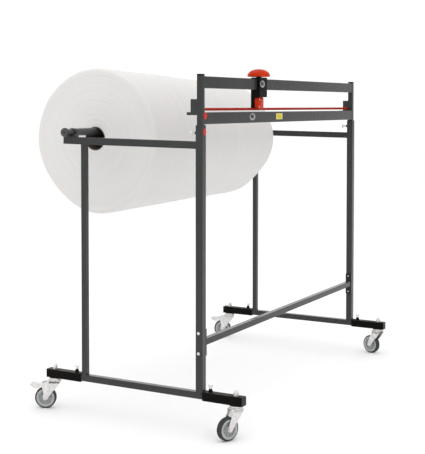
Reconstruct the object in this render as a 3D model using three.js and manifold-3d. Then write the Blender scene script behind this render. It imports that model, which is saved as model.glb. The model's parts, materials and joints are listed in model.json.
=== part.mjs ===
// Mobile roll stand with a sliding cutter. Millimetres, +Z up, cutter side towards -Y.
// X runs along the roll. The origin is on the floor under the middle of the stand.
import * as THREE from 'three';
import { mergeVertices } from 'three/addons/utils/BufferGeometryUtils.js';
import Module from 'manifold-3d';

const wasm = await Module();
wasm.setup();

// ---- driving dimensions -------------------------------------------------------------------------
const GAP = 0.3;
const TUBE_CORNER_R = 2.6;
const HALF_WIDTH = 882;
const FRONT_Y = -403;
const REAR_Y = FRONT_Y + 608;

const RAIL = 30;
const RAIL_WALL = 2;
const RAIL_Z = 164;
const RAIL_TOP = RAIL_Z + RAIL / 2;
const STUB_LENGTH = 134;

const REAR_POST = 26;
const FRONT_POST = 34;
const INNER_POST = 26;
const INNER_WALL = 2;
const FRONT_POST_TOP = 1332;

const ARM = 32;
const ARM_WALL = 2;
const ARM_LENGTH = 716;
const ARM_END_Y = FRONT_Y + ARM_LENGTH;
const ARM_FRONT_BOTTOM = 1230.5;
const ARM_RISE = 10;

const SLEEVE = 39;
const SLEEVE_LENGTH = 189;
const SLEEVE_START = FRONT_POST / 2 + GAP;
const SLEEVE_TOP = RAIL_Z + SLEEVE / 2;
const SLEEVE_BOTTOM = RAIL_Z - SLEEVE / 2;
const CAP_THICKNESS = 4;
const STEM_FROM_END = 38;
const BOSS_FROM_START = 31;
const BOSS_HEIGHT = 16;
const SCREW_R = 3;
const SCREW_HOLE_R = SCREW_R + GAP;

const WHEEL_R = 50;
const TYRE_WIDTH = 30;
const TYRE_INNER_R = 37;
const CASTOR_TRAIL = 46;
const CASTOR_AXLE_R = 5;
const STEM_R = 6;
const FORK_INSIDE = 19;
const FORK_PLATE = 3;
const PEDAL_PIVOT_Y = 60;
const PEDAL_PIVOT_Z = 114;
const PEDAL_PIN_R = 3;
const PEDAL_SHEET = 2.5;
// How far each castor has swivelled from trailing straight back, in degrees.
const CASTOR_TURN = { left_front: 65, left_rear: 28, right_front: -18, right_rear: 24 };

const STRETCHER = 28;
const STRETCHER_Z = 392;
const FLANGE_THICKNESS = 6;
const FLANGE_HEIGHT = 118;
const FLANGE_BOLT_RISE = 44;
const FLANGE_BOLT_R = 4;
const FLANGE_DRAIN_R = 8;

const CROSSBAR_HEIGHT = 52;
const CROSSBAR_DEPTH = 24;
const CROSSBAR_WALL = 2;
const UPPER_CROSSBAR_Z = 1516.6;
const LOWER_CROSSBAR_Z = 1361.5;
const CROSSBAR_HALF = HALF_WIDTH - INNER_POST / 2;
const INNER_POST_BOTTOM = 1032;
const INNER_POST_TOP = 1544;
const POST_CAP_HEIGHT = 8;
const CLAMP_Z = 1299;

const STRIP_Y = FRONT_Y + 18.5;
const STRIP_DEPTH = 10;
const STRIP_BOTTOM = 1394;
const STRIP_TOP = 1406;
const GROOVE_WIDTH = 2.2;
const GROOVE_DEPTH = 7;

const CARRIAGE_X = -321;
const CARRIAGE_HALF = 40;
const CARRIAGE_REAR_HALF = 25;
const CARRIAGE_CLEAR = 0.4;
const CARRIAGE_FRONT = 26;
const CARRIAGE_REAR = 28;
const CARRIAGE_TOP = 1548.7;
const CARRIAGE_BOTTOM = 1456;
const KNOB_R = 54;
const KNOB_HEIGHT = 40;

const AXLE_Y = FRONT_Y + 676;
const AXLE_Z = 1294;
const AXLE_R = 17;
const AXLE_BORE_R = 14;
const AXLE_SEAT_R = 18.5;
const AXLE_SEAT_HALF = 10;
const AXLE_OVERHANG = 66;

const CORE_R = 56;
const CORE_BORE_R = 52;
const ROLL_Z = AXLE_Z + AXLE_R - CORE_BORE_R + 2 * GAP;
const ROLL_LEFT_X = -702;
const ROLL_RIGHT_X = 585;
const ROLL_LEFT_R = 344;
const ROLL_RIGHT_R = 310;
const ROLL_LEFT_DROP = 8;
const ROLL_RIGHT_DROP = 36;
const ROLL_OVAL = 1.03;

// ---- materials ----------------------------------------------------------------------------------
function finish(color, roughness, metalness) {
  return () => new THREE.MeshStandardMaterial({ color, roughness, metalness });
}
const anthracite = finish(0x4a4b4d, 0.55, 0.35);
const satinBlack = finish(0x1b1917, 0.45, 0.2);
const blackPlastic = finish(0x141414, 0.5, 0);
const zinc = finish(0xc9c7c0, 0.3, 0.9);
const tyreRubber = finish(0x47474a, 0.8, 0);
const rimGrey = finish(0xa3a5a8, 0.5, 0.1);
const redPlastic = finish(0xc4321a, 0.35, 0);
const redStrip = finish(0x9e1f12, 0.4, 0.1);
const bladeSteel = finish(0xb9bcc0, 0.25, 1);
const axleSteel = finish(0x4d4d4f, 0.4, 0.7);
const cardboard = finish(0x8a6b4b, 0.9, 0);
const film = finish(0xdedcd8, 0.6, 0);

// ---- shared shapes ------------------------------------------------------------------------------
const group = new THREE.Group();
group.name = 'mobile_roll_stand';

function add(name, geometry, material) {
  const mesh = new THREE.Mesh(geometry, material());
  mesh.name = name;
  group.add(mesh);
}

function toSolid(geometry) {
  const bare = geometry.clone();
  bare.deleteAttribute('normal');
  bare.deleteAttribute('uv');
  const merged = mergeVertices(bare, 1e-3);
  return new wasm.Manifold(new wasm.Mesh({
    numProp: 3,
    vertProperties: new Float32Array(merged.attributes.position.array),
    triVerts: new Uint32Array(merged.index.array),
  }));
}

function toGeometry(solid) {
  const mesh = solid.getMesh();
  const geometry = new THREE.BufferGeometry();
  geometry.setAttribute('position', new THREE.BufferAttribute(mesh.vertProperties, 3));
  geometry.setIndex(new THREE.BufferAttribute(mesh.triVerts, 1));
  const flat = geometry.toNonIndexed();
  flat.computeVertexNormals();
  return flat;
}

function union(geometries) {
  return geometries.map(toSolid).reduce((all, next) => all.add(next));
}

function cut(base, tools) {
  return tools.map(toSolid).reduce((rest, tool) => rest.subtract(tool), base);
}

// A block between two corners.
function block(x0, x1, y0, y1, z0, z1) {
  const geometry = new THREE.BoxGeometry(x1 - x0, y1 - y0, z1 - z0);
  return geometry.translate((x0 + x1) / 2, (y0 + y1) / 2, (z0 + z1) / 2);
}

// A rectangle with rounded corners, centred on the origin.
function roundedRect(width, height, radius) {
  const w = width / 2;
  const h = height / 2;
  const shape = new THREE.Shape();
  shape.moveTo(w - radius, -h);
  shape.absarc(w - radius, -h + radius, radius, -Math.PI / 2, 0, false);
  shape.absarc(w - radius, h - radius, radius, 0, Math.PI / 2, false);
  shape.absarc(-w + radius, h - radius, radius, Math.PI / 2, Math.PI, false);
  shape.absarc(-w + radius, -h + radius, radius, Math.PI, Math.PI * 1.5, false);
  return shape;
}

// A hollow rectangular section along +Z from the origin, with its outer corners rounded.
function tubeSection(width, height, innerWidth, innerHeight, length) {
  const shape = roundedRect(width, height, TUBE_CORNER_R);
  const hole = new THREE.Path();
  hole.moveTo(-innerWidth / 2, -innerHeight / 2);
  hole.lineTo(-innerWidth / 2, innerHeight / 2);
  hole.lineTo(innerWidth / 2, innerHeight / 2);
  hole.lineTo(innerWidth / 2, -innerHeight / 2);
  hole.closePath();
  shape.holes.push(hole);
  return new THREE.ExtrudeGeometry(shape, { depth: length, bevelEnabled: false, curveSegments: 3 });
}

// Turns a part built along +Z so that it runs along +X, or along +Y or -Y.
function alongX(geometry) {
  return geometry.rotateY(Math.PI / 2);
}
function alongY(geometry, direction) {
  return geometry.rotateX(-direction * Math.PI / 2);
}

// An outline drawn in Y and Z, given a thickness along X and centred on x.
function sidePlate(shape, thickness, x) {
  const options = { depth: thickness, bevelEnabled: false, curveSegments: 5 };
  const geometry = new THREE.ExtrudeGeometry(shape, options);
  const turn = new THREE.Matrix4().makeBasis(
    new THREE.Vector3(0, 1, 0),
    new THREE.Vector3(0, 0, 1),
    new THREE.Vector3(1, 0, 0),
  );
  return geometry.applyMatrix4(turn).translate(x - thickness / 2, 0, 0);
}

// A turned part on the Z axis, from [radius, height] pairs listed bottom to top.
function turned(pairs, segments) {
  const points = pairs.map(([radius, height]) => new THREE.Vector2(radius, height));
  return new THREE.LatheGeometry(points, segments).rotateX(Math.PI / 2);
}

function rod(radius, length, segments) {
  return turned([[0, 0], [radius, 0], [radius, length], [0, length]], segments);
}

// A wing screw on +Z: its tip is at the origin and its head starts at the given height.
function wingScrew(headStart) {
  const hubR = 6;
  const hubHeight = 13;
  const stalk = turned([
    [0, 0], [SCREW_R, 0], [SCREW_R, headStart], [hubR, headStart],
    [hubR - 1, headStart + hubHeight], [0, headStart + hubHeight],
  ], 12);
  const wings = [-1, 1].map((side) => {
    const lobe = new THREE.Shape();
    lobe.absellipse(side * 7.2, hubHeight - 2, 4.8, 7.2, 0, Math.PI * 2, false, side * -0.3);
    const options = { depth: 4, bevelEnabled: false, curveSegments: 8 };
    const wing = new THREE.ExtrudeGeometry(lobe, options);
    return wing.translate(0, 0, -2).rotateX(Math.PI / 2).translate(0, 0, headStart);
  });
  return toGeometry(union([stalk, ...wings]));
}

// ---- side frames --------------------------------------------------------------------------------
function bottomRail(x) {
  const inside = RAIL - 2 * RAIL_WALL;
  const frontEnd = FRONT_Y - SLEEVE_START - STUB_LENGTH;
  const rearEnd = REAR_Y + SLEEVE_START + STUB_LENGTH;
  const tube = alongY(tubeSection(RAIL, RAIL, inside, inside, rearEnd - frontEnd), 1);
  return tube.translate(x, frontEnd, RAIL_Z);
}

function rearPost(x) {
  const inside = REAR_POST - 4;
  const top = armBottom(REAR_Y - REAR_POST / 2);
  const tube = tubeSection(REAR_POST, REAR_POST, inside, inside, top - RAIL_TOP);
  return tube.translate(x, REAR_Y, RAIL_TOP);
}

function frontPost(x) {
  const inside = INNER_POST + 2 * GAP;
  const tube = tubeSection(FRONT_POST, FRONT_POST, inside, inside, FRONT_POST_TOP - RAIL_TOP);
  tube.translate(x, FRONT_Y, RAIL_TOP);
  const boss = alongY(turned([[0, 0], [9, 0], [6.5, 11], [0, 11]], 16), 1);
  boss.translate(x, FRONT_Y + FRONT_POST / 2 - 1, CLAMP_Z);
  const clampHole = alongY(rod(SCREW_HOLE_R, 40, 12), 1).translate(x, FRONT_Y, CLAMP_Z);
  const boltHoles = [-1, 1].map((side) => {
    const hole = alongX(rod(FLANGE_BOLT_R + GAP, FRONT_POST + 10, 12));
    return hole.translate(x - FRONT_POST / 2 - 5, FRONT_Y, STRETCHER_Z + side * FLANGE_BOLT_RISE);
  });
  return toGeometry(cut(union([tube, boss]), [clampHole, ...boltHoles]));
}

// The arm rises slightly towards the rear. It is closed there, and has a saddle for the axle.
function armBottom(y) {
  return ARM_FRONT_BOTTOM + (ARM_RISE * (y - FRONT_Y)) / ARM_LENGTH;
}

// The arm's side view between two stations, with each edge moved in by the given margin.
function armSide(from, to, margin) {
  const shape = new THREE.Shape();
  shape.moveTo(from, armBottom(from) + margin);
  shape.lineTo(to, armBottom(to) + margin);
  shape.lineTo(to, armBottom(to) + ARM - margin);
  shape.lineTo(from, armBottom(from) + ARM - margin);
  shape.closePath();
  return shape;
}

function rollArm(x) {
  const frontEnd = FRONT_Y + FRONT_POST / 2;
  const outside = sidePlate(armSide(frontEnd, ARM_END_Y, 0), ARM, x);
  const inside = ARM - 2 * ARM_WALL;
  const hollow = sidePlate(armSide(frontEnd - 1, ARM_END_Y - ARM_WALL, ARM_WALL), inside, x);
  const top = armBottom(AXLE_Y) + ARM;
  const saddle = new THREE.Shape();
  saddle.moveTo(AXLE_Y - 30, top - 1);
  saddle.lineTo(AXLE_Y + 30, top - 1);
  saddle.lineTo(AXLE_Y + 20, top + 14);
  saddle.lineTo(AXLE_Y - 20, top + 14);
  saddle.closePath();
  const seat = alongX(rod(AXLE_SEAT_R + GAP, ARM + 2, 36)).translate(x - ARM / 2 - 1, AXLE_Y, AXLE_Z);
  return toGeometry(cut(union([outside, sidePlate(saddle, ARM - 8, x)]), [hollow, seat]));
}

// ---- castor sleeves -----------------------------------------------------------------------------
// end is -1 for the front sleeves and +1 for the rear ones.
function sleeveStart(end) {
  return (end < 0 ? FRONT_Y : REAR_Y) + end * SLEEVE_START;
}

function stemY(end) {
  return sleeveStart(end) + end * (SLEEVE_LENGTH + CAP_THICKNESS - STEM_FROM_END);
}

function castorSleeve(x, end) {
  const start = sleeveStart(end);
  const inside = RAIL + 2 * GAP;
  const tube = alongY(tubeSection(SLEEVE, SLEEVE, inside, inside, SLEEVE_LENGTH), end);
  tube.translate(x, start, RAIL_Z);
  const bossY = start + end * BOSS_FROM_START;
  const bossProfile = [[0, 0], [11, 0], [10, 3], [6.5, BOSS_HEIGHT], [0, BOSS_HEIGHT]];
  const boss = turned(bossProfile, 16).translate(x, bossY, SLEEVE_TOP - 1);
  const screwHole = rod(SCREW_HOLE_R, 40, 12).translate(x, bossY, RAIL_Z);
  const stemHole = rod(STEM_R + GAP, SLEEVE + 4, 16).translate(x, stemY(end), SLEEVE_BOTTOM - 2);
  return toGeometry(cut(union([tube, boss]), [screwHole, stemHole]));
}

function sleeveCap(x, end) {
  const plug = alongY(new THREE.BoxGeometry(RAIL, RAIL, 12).translate(0, 0, -6), end);
  const options = { depth: CAP_THICKNESS, bevelEnabled: false, curveSegments: 3 };
  const plate = alongY(new THREE.ExtrudeGeometry(roundedRect(SLEEVE, SLEEVE, 3), options), end);
  const capY = sleeveStart(end) + end * SLEEVE_LENGTH;
  return toGeometry(union([plug.translate(0, end * 0.5, 0), plate])
    .translate([x, capY, RAIL_Z]));
}

function sleeveScrew(x, end) {
  const head = SLEEVE_TOP - 1 + BOSS_HEIGHT - RAIL_TOP;
  const screw = wingScrew(head).rotateZ(Math.PI / 2);
  return screw.translate(x, sleeveStart(end) + end * BOSS_FROM_START, RAIL_TOP + GAP);
}

// ---- castors ------------------------------------------------------------------------------------
// The fork is pressed sheet: two tapering cheeks under a swivel head, with the wheel pin across them
// and a threaded stem and nut above. The rear forks have ears for the brake pedal.
function forkCheek(hasBrake) {
  const cheek = new THREE.Shape();
  cheek.moveTo(-24, 134);
  cheek.lineTo(-24, 126);
  cheek.quadraticCurveTo(-18, 112, 0, 92);
  cheek.lineTo(CASTOR_TRAIL - 11, 44);
  cheek.quadraticCurveTo(CASTOR_TRAIL, 34, CASTOR_TRAIL + 11, 44);
  cheek.lineTo(CASTOR_TRAIL + 8, 66);
  if (hasBrake) {
    cheek.lineTo(PEDAL_PIVOT_Y + 9, PEDAL_PIVOT_Z - 6);
    cheek.quadraticCurveTo(PEDAL_PIVOT_Y + 8, PEDAL_PIVOT_Z + 9, PEDAL_PIVOT_Y - 6, PEDAL_PIVOT_Z + 8);
    cheek.lineTo(30, 134);
  } else {
    cheek.quadraticCurveTo(40, 100, 32, 116);
    cheek.lineTo(30, 134);
  }
  cheek.closePath();
  return cheek;
}

// Sets a castor part, built about the stem's axis, at its corner and at its angle of swivel.
function atCorner(solid, side, end) {
  const corner = `${side < 0 ? 'left' : 'right'}_${end < 0 ? 'front' : 'rear'}`;
  const turnedSolid = solid.rotate([0, 0, CASTOR_TURN[corner]]);
  return toGeometry(turnedSolid.translate([side * HALF_WIDTH, stemY(end), 0]));
}

function castorFork(side, end) {
  const hasBrake = end > 0;
  const cheekX = FORK_INSIDE + FORK_PLATE / 2;
  const cheeks = [-1, 1].map((way) => sidePlate(forkCheek(hasBrake), FORK_PLATE, way * cheekX));
  const outer = FORK_INSIDE + FORK_PLATE;
  const crown = block(-outer, outer, -24, 30, 130, 135);
  const head = turned([
    [0, 133], [26, 133], [29, 137], [29, 141], [24, SLEEVE_BOTTOM - GAP], [0, SLEEVE_BOTTOM - GAP],
  ], 24);
  const stem = rod(STEM_R, 58, 16).translate(0, 0, 140);
  const nut = turned([[0, 0], [12, 0], [12, 9], [10.5, 11], [0, 11]], 6);
  nut.translate(0, 0, SLEEVE_TOP + GAP);
  const dome = turned([[0, 0], [9.5, 0], [9.5, 7], [7.5, 12], [3.5, 15], [0, 15.5]], 16);
  dome.translate(0, 0, SLEEVE_TOP + 10);
  const pin = alongX(rod(CASTOR_AXLE_R, 2 * outer, 16)).translate(-outer, CASTOR_TRAIL, WHEEL_R);
  const pinHeads = [-1, 1].map((way) => {
    const bolt = alongX(rod(8, 5, 6));
    return bolt.translate(way < 0 ? -outer - 5 : outer, CASTOR_TRAIL, WHEEL_R);
  });
  const parts = [crown, ...cheeks, head, stem, nut, dome, pin, ...pinHeads];
  if (hasBrake) {
    const pivot = alongX(rod(PEDAL_PIN_R, 2 * outer, 16));
    parts.push(pivot.translate(-outer, PEDAL_PIVOT_Y, PEDAL_PIVOT_Z));
  }
  return atCorner(union(parts), side, end);
}

function wheelPart(profile, segments, side, end) {
  const part = alongX(turned(profile, segments)).translate(0, CASTOR_TRAIL, WHEEL_R);
  return atCorner(toSolid(part), side, end);
}

function tyre(side, end) {
  const half = TYRE_WIDTH / 2;
  return wheelPart([
    [TYRE_INNER_R, -half + 1], [WHEEL_R - 5, -half], [WHEEL_R - 1.5, -half + 3],
    [WHEEL_R, -half + 7], [WHEEL_R, half - 7], [WHEEL_R - 1.5, half - 3],
    [WHEEL_R - 5, half], [TYRE_INNER_R, half - 1], [TYRE_INNER_R, -half + 1],
  ], 44, side, end);
}

function rim(side, end) {
  const bore = CASTOR_AXLE_R + GAP;
  const edge = TYRE_INNER_R - GAP;
  const hub = 15;
  const hubHalf = FORK_INSIDE - 1;
  return wheelPart([
    [bore, -hubHalf], [hub - 3, -hubHalf], [hub, -hubHalf + 4], [hub + 1, -5], [edge - 6, -5],
    [edge - 4, -12], [edge, -12], [edge, 12], [edge - 4, 12], [edge - 6, 5], [hub + 1, 5],
    [hub, hubHalf - 4], [hub - 3, hubHalf], [bore, hubHalf], [bore, -hubHalf],
  ], 28, side, end);
}

// The pedal is a channel with deep sides. It turns on the pin between the fork's ears, and the shoe
// under it sits just above the tyre.
function brakePedal(side) {
  const half = FORK_INSIDE - 1.5;
  const flange = new THREE.Shape();
  flange.moveTo(-8, -3);
  flange.quadraticCurveTo(-7, 6, 2, 6);
  flange.lineTo(40, 4);
  flange.lineTo(57, 0);
  flange.lineTo(57, -4);
  flange.quadraticCurveTo(46, -15, 32, -19);
  flange.lineTo(20, -18);
  flange.lineTo(6, -9);
  flange.closePath();
  const plate = new THREE.Shape();
  plate.moveTo(1, 3);
  plate.lineTo(1, 6);
  plate.lineTo(40, 4);
  plate.lineTo(58, 0);
  plate.lineTo(57, -3);
  plate.lineTo(40, 1);
  plate.closePath();
  const shoe = new THREE.Shape();
  shoe.moveTo(7, 4);
  shoe.lineTo(16, 4);
  shoe.lineTo(16, -13);
  shoe.lineTo(7, -12);
  shoe.closePath();
  const sides = [-1, 1].map((way) => {
    return sidePlate(flange, PEDAL_SHEET, way * (half - PEDAL_SHEET / 2));
  });
  const eye = alongX(rod(PEDAL_PIN_R + GAP, 2 * half + 2, 20)).translate(-half - 1, 0, 0);
  const parts = [...sides, sidePlate(plate, 2 * half - 1, 0), sidePlate(shoe, 2 * half - 2, 0)];
  const pedal = cut(union(parts), [eye]).translate([0, PEDAL_PIVOT_Y, PEDAL_PIVOT_Z]);
  return atCorner(pedal, side, 1);
}

// ---- stretcher ----------------------------------------------------------------------------------
function stretcher() {
  const inside = STRETCHER - 4;
  const flangeFace = HALF_WIDTH - FRONT_POST / 2;
  const half = flangeFace - 1;
  const tube = alongX(tubeSection(STRETCHER, STRETCHER, inside, inside, 2 * half));
  tube.translate(-half, FRONT_Y, STRETCHER_Z);
  const flanges = [-1, 1].map((side) => {
    const options = { depth: FLANGE_THICKNESS, bevelEnabled: false, curveSegments: 4 };
    const plate = new THREE.ExtrudeGeometry(roundedRect(FLANGE_HEIGHT, FRONT_POST, 4), options);
    const start = side < 0 ? -flangeFace : flangeFace - FLANGE_THICKNESS;
    return alongX(plate).translate(start, FRONT_Y, STRETCHER_Z);
  });
  const holes = [-1, 1].flatMap((side) => [-1, 1].map((level) => {
    const hole = alongX(rod(FLANGE_BOLT_R + GAP, 30, 12));
    const middle = side * flangeFace - 15;
    return hole.translate(middle, FRONT_Y, STRETCHER_Z + level * FLANGE_BOLT_RISE);
  }));
  const drain = alongX(rod(FLANGE_DRAIN_R, 2 * flangeFace + 2, 24));
  drain.translate(-flangeFace - 1, FRONT_Y, STRETCHER_Z);
  return toGeometry(cut(union([tube, ...flanges]), [...holes, drain]));
}

function stretcherBolt(side, level) {
  const shank = FRONT_POST + FLANGE_THICKNESS + 5;
  const bolt = union([
    turned([[0, -5.5], [6.5, -5.5], [7.5, -4.5], [7.5, 0], [0, 0]], 6),
    rod(FLANGE_BOLT_R, shank + 1, 12).translate(0, 0, -1),
  ]);
  const turnedBolt = alongX(toGeometry(bolt));
  if (side > 0) {
    turnedBolt.rotateZ(Math.PI);
  }
  const face = side * (HALF_WIDTH + FRONT_POST / 2 + GAP);
  return turnedBolt.translate(face, FRONT_Y, STRETCHER_Z + level * FLANGE_BOLT_RISE);
}

// ---- cutter frame -------------------------------------------------------------------------------
function innerPost(x) {
  const inside = INNER_POST - 2 * INNER_WALL;
  const length = INNER_POST_TOP - INNER_POST_BOTTOM;
  const tube = tubeSection(INNER_POST, INNER_POST, inside, inside, length);
  return tube.translate(x, FRONT_Y, INNER_POST_BOTTOM);
}

function postCap(x) {
  const options = { depth: POST_CAP_HEIGHT, bevelEnabled: false, curveSegments: 3 };
  const plate = new THREE.ExtrudeGeometry(roundedRect(INNER_POST, INNER_POST, 3), options);
  const plugSize = INNER_POST - 2 * INNER_WALL - 2 * GAP;
  const plug = new THREE.BoxGeometry(plugSize, plugSize, 14).translate(0, 0, -6);
  return toGeometry(union([plate, plug]).translate([x, FRONT_Y, INNER_POST_TOP]));
}

function crossbar(z) {
  const inHeight = CROSSBAR_HEIGHT - 2 * CROSSBAR_WALL;
  const inDepth = CROSSBAR_DEPTH - 2 * CROSSBAR_WALL;
  const tube = tubeSection(CROSSBAR_HEIGHT, CROSSBAR_DEPTH, inHeight, inDepth, 2 * CROSSBAR_HALF);
  return alongX(tube).translate(-CROSSBAR_HALF, FRONT_Y, z);
}

// The bracket behind each inner post holds one end of the cutting strip.
function stripBracket(x) {
  const back = FRONT_Y + INNER_POST / 2;
  const upright = block(x - 12, x + 12, back, back + 31, 1387, 1444);
  const foot = block(x - 12, x + 12, back, back + 50, 1375, 1388);
  return toGeometry(union([upright, foot]));
}

// The strip is a shallow channel with a groove in its top face for the blade.
function cuttingStrip() {
  const half = STRIP_DEPTH / 2;
  const groove = GROOVE_WIDTH / 2;
  const shape = new THREE.Shape();
  shape.moveTo(-half + 1, 0);
  shape.lineTo(half - 1, 0);
  shape.lineTo(half, 2);
  shape.lineTo(half, STRIP_TOP - STRIP_BOTTOM - 2);
  shape.lineTo(half - 2, STRIP_TOP - STRIP_BOTTOM);
  shape.lineTo(groove, STRIP_TOP - STRIP_BOTTOM);
  shape.lineTo(groove, STRIP_TOP - STRIP_BOTTOM - GROOVE_DEPTH);
  shape.lineTo(-groove, STRIP_TOP - STRIP_BOTTOM - GROOVE_DEPTH);
  shape.lineTo(-groove, STRIP_TOP - STRIP_BOTTOM);
  shape.lineTo(-half + 2, STRIP_TOP - STRIP_BOTTOM);
  shape.lineTo(-half, STRIP_TOP - STRIP_BOTTOM - 2);
  shape.lineTo(-half, 2);
  shape.closePath();
  return sidePlate(shape, 2 * CROSSBAR_HALF, 0).translate(0, STRIP_Y, STRIP_BOTTOM);
}

function heightScrew(x) {
  const tip = FRONT_Y + INNER_POST / 2 + GAP;
  const backedOut = 12;
  const head = FRONT_POST / 2 - 1 + 11 + backedOut - INNER_POST / 2;
  return alongY(wingScrew(head), 1).translate(x, tip, CLAMP_Z);
}

// ---- cutter carriage ----------------------------------------------------------------------------
// The body is a collar around the upper crossbar with a leg that reaches down behind the strip.
function carriageBody() {
  const y = FRONT_Y;
  const front = block(
    CARRIAGE_X - CARRIAGE_HALF, CARRIAGE_X + CARRIAGE_HALF,
    y - CARRIAGE_FRONT, y + CROSSBAR_DEPTH / 2 + 1, CARRIAGE_BOTTOM, CARRIAGE_TOP,
  );
  const back = block(
    CARRIAGE_X - CARRIAGE_REAR_HALF, CARRIAGE_X + CARRIAGE_REAR_HALF,
    y, y + CARRIAGE_REAR, CARRIAGE_BOTTOM, CARRIAGE_TOP,
  );
  const leg = block(
    CARRIAGE_X - CARRIAGE_REAR_HALF, CARRIAGE_X + CARRIAGE_REAR_HALF,
    y + CROSSBAR_DEPTH / 2 + CARRIAGE_CLEAR, y + CARRIAGE_REAR, STRIP_BOTTOM + 2, CARRIAGE_BOTTOM + 1,
  );
  const stud = alongX(rod(7, 7, 20));
  stud.translate(CARRIAGE_X + CARRIAGE_HALF - 1, y - CARRIAGE_FRONT + 9, CARRIAGE_BOTTOM + 20);
  const inHeight = CROSSBAR_HEIGHT / 2 + CARRIAGE_CLEAR;
  const inDepth = CROSSBAR_DEPTH / 2 + CARRIAGE_CLEAR;
  const window = block(
    CARRIAGE_X - CARRIAGE_HALF - 1, CARRIAGE_X + CARRIAGE_HALF + 1,
    y - inDepth, y + inDepth, UPPER_CROSSBAR_Z - inHeight, UPPER_CROSSBAR_Z + inHeight,
  );
  const stripHalf = STRIP_DEPTH / 2 + CARRIAGE_CLEAR;
  const overStrip = block(
    CARRIAGE_X - CARRIAGE_HALF, CARRIAGE_X + CARRIAGE_HALF,
    y, STRIP_Y + stripHalf, STRIP_BOTTOM, STRIP_TOP + CARRIAGE_CLEAR,
  );
  const bladeSlot = block(
    CARRIAGE_X - 14.3, CARRIAGE_X + 14.3,
    STRIP_Y - 0.9, STRIP_Y + 0.9, STRIP_BOTTOM, 1436.3,
  );
  const openSide = block(
    CARRIAGE_X - CARRIAGE_HALF - 1, CARRIAGE_X - CARRIAGE_REAR_HALF,
    y + inDepth, y + CARRIAGE_REAR, CARRIAGE_BOTTOM - 1, CARRIAGE_TOP + 1,
  );
  const otherSide = openSide.clone().translate(CARRIAGE_HALF + CARRIAGE_REAR_HALF + 1, 0, 0);
  const solid = union([front, back, leg, stud]);
  return toGeometry(cut(solid, [window, overStrip, bladeSlot, openSide, otherSide]));
}

// A domed palm knob: flat underneath, on a short neck.
function palmKnob() {
  const steps = 6;
  const rimHeight = 9;
  const profile = [[0, 0], [12, 0], [12, 3], [KNOB_R - 7, 3], [KNOB_R - 2, 5], [KNOB_R, rimHeight]];
  for (let i = 1; i < steps; i += 1) {
    const angle = (i / steps) * Math.PI / 2;
    const radius = KNOB_R * Math.cos(angle);
    profile.push([radius, rimHeight + (KNOB_HEIGHT - rimHeight) * Math.sin(angle)]);
  }
  profile.push([0, KNOB_HEIGHT]);
  return turned(profile, 36).translate(CARRIAGE_X + 2, FRONT_Y, CARRIAGE_TOP + GAP);
}

function bladeHousing() {
  const shape = roundedRect(58, 56, 8);
  const options = {
    depth: 15, bevelEnabled: true, bevelThickness: 2.5, bevelSize: 2.5, bevelOffset: -2.5,
    bevelSegments: 2, curveSegments: 4,
  };
  const box = alongY(new THREE.ExtrudeGeometry(shape, options), 1);
  return box.translate(CARRIAGE_X, FRONT_Y - 11.5, CARRIAGE_BOTTOM - GAP - 28);
}

function blade() {
  const shape = new THREE.Shape();
  shape.moveTo(-14, 1436);
  shape.lineTo(-14, 1412);
  shape.lineTo(0, STRIP_TOP - GROOVE_DEPTH + 1.5);
  shape.lineTo(14, 1412);
  shape.lineTo(14, 1436);
  shape.closePath();
  const plate = new THREE.ExtrudeGeometry(shape, { depth: 1.2, bevelEnabled: false });
  return plate.translate(0, 0, -0.6).rotateX(Math.PI / 2).translate(CARRIAGE_X, STRIP_Y, 0);
}

// ---- axle and roll ------------------------------------------------------------------------------
function axleTube() {
  const half = HALF_WIDTH - AXLE_SEAT_HALF - GAP;
  const profile = [
    [AXLE_BORE_R, -half], [AXLE_R, -half], [AXLE_R, half], [AXLE_BORE_R, half], [AXLE_BORE_R, -half],
  ];
  return alongX(turned(profile, 32)).translate(0, AXLE_Y, AXLE_Z);
}

// Each end plug has a spigot in the tube, the ring that sits in the saddle, a neck and a knob.
function axleEnd(side) {
  const spigot = AXLE_BORE_R - GAP;
  const plug = turned([
    [0, -34], [spigot - 1, -34], [spigot, -32], [spigot, -AXLE_SEAT_HALF],
    [AXLE_SEAT_R, -AXLE_SEAT_HALF], [AXLE_SEAT_R, AXLE_SEAT_HALF], [15, AXLE_SEAT_HALF + 1],
    [15, AXLE_OVERHANG - 18], [19, AXLE_OVERHANG - 17], [20.5, AXLE_OVERHANG - 14],
    [20.5, AXLE_OVERHANG - 3], [18, AXLE_OVERHANG], [4, AXLE_OVERHANG], [4, AXLE_OVERHANG - 8],
    [0, AXLE_OVERHANG - 8],
  ], 24);
  const turn = side * Math.PI / 2;
  return plug.rotateY(turn).translate(side * HALF_WIDTH, AXLE_Y, AXLE_Z);
}

function rollCore() {
  const length = ROLL_RIGHT_X - ROLL_LEFT_X;
  const profile = [
    [CORE_BORE_R, 0], [CORE_R, 0], [CORE_R, length], [CORE_BORE_R, length], [CORE_BORE_R, 0],
  ];
  return alongX(turned(profile, 48)).translate(ROLL_LEFT_X, AXLE_Y, ROLL_Z);
}

// The soft roll sags on its core: its outside hangs lower than the core and is a little oval.
function sagged(geometry, bore, length) {
  const place = geometry.getAttribute('position');
  for (let i = 0; i < place.count; i += 1) {
    const [x, y, z] = [place.getX(i), place.getY(i), place.getZ(i)];
    if (Math.hypot(y, z) > bore + 1) {
      const drop = THREE.MathUtils.lerp(ROLL_LEFT_DROP, ROLL_RIGHT_DROP, x / length);
      place.setXYZ(i, x, y * ROLL_OVAL, z - drop);
    }
  }
  return geometry;
}

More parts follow.
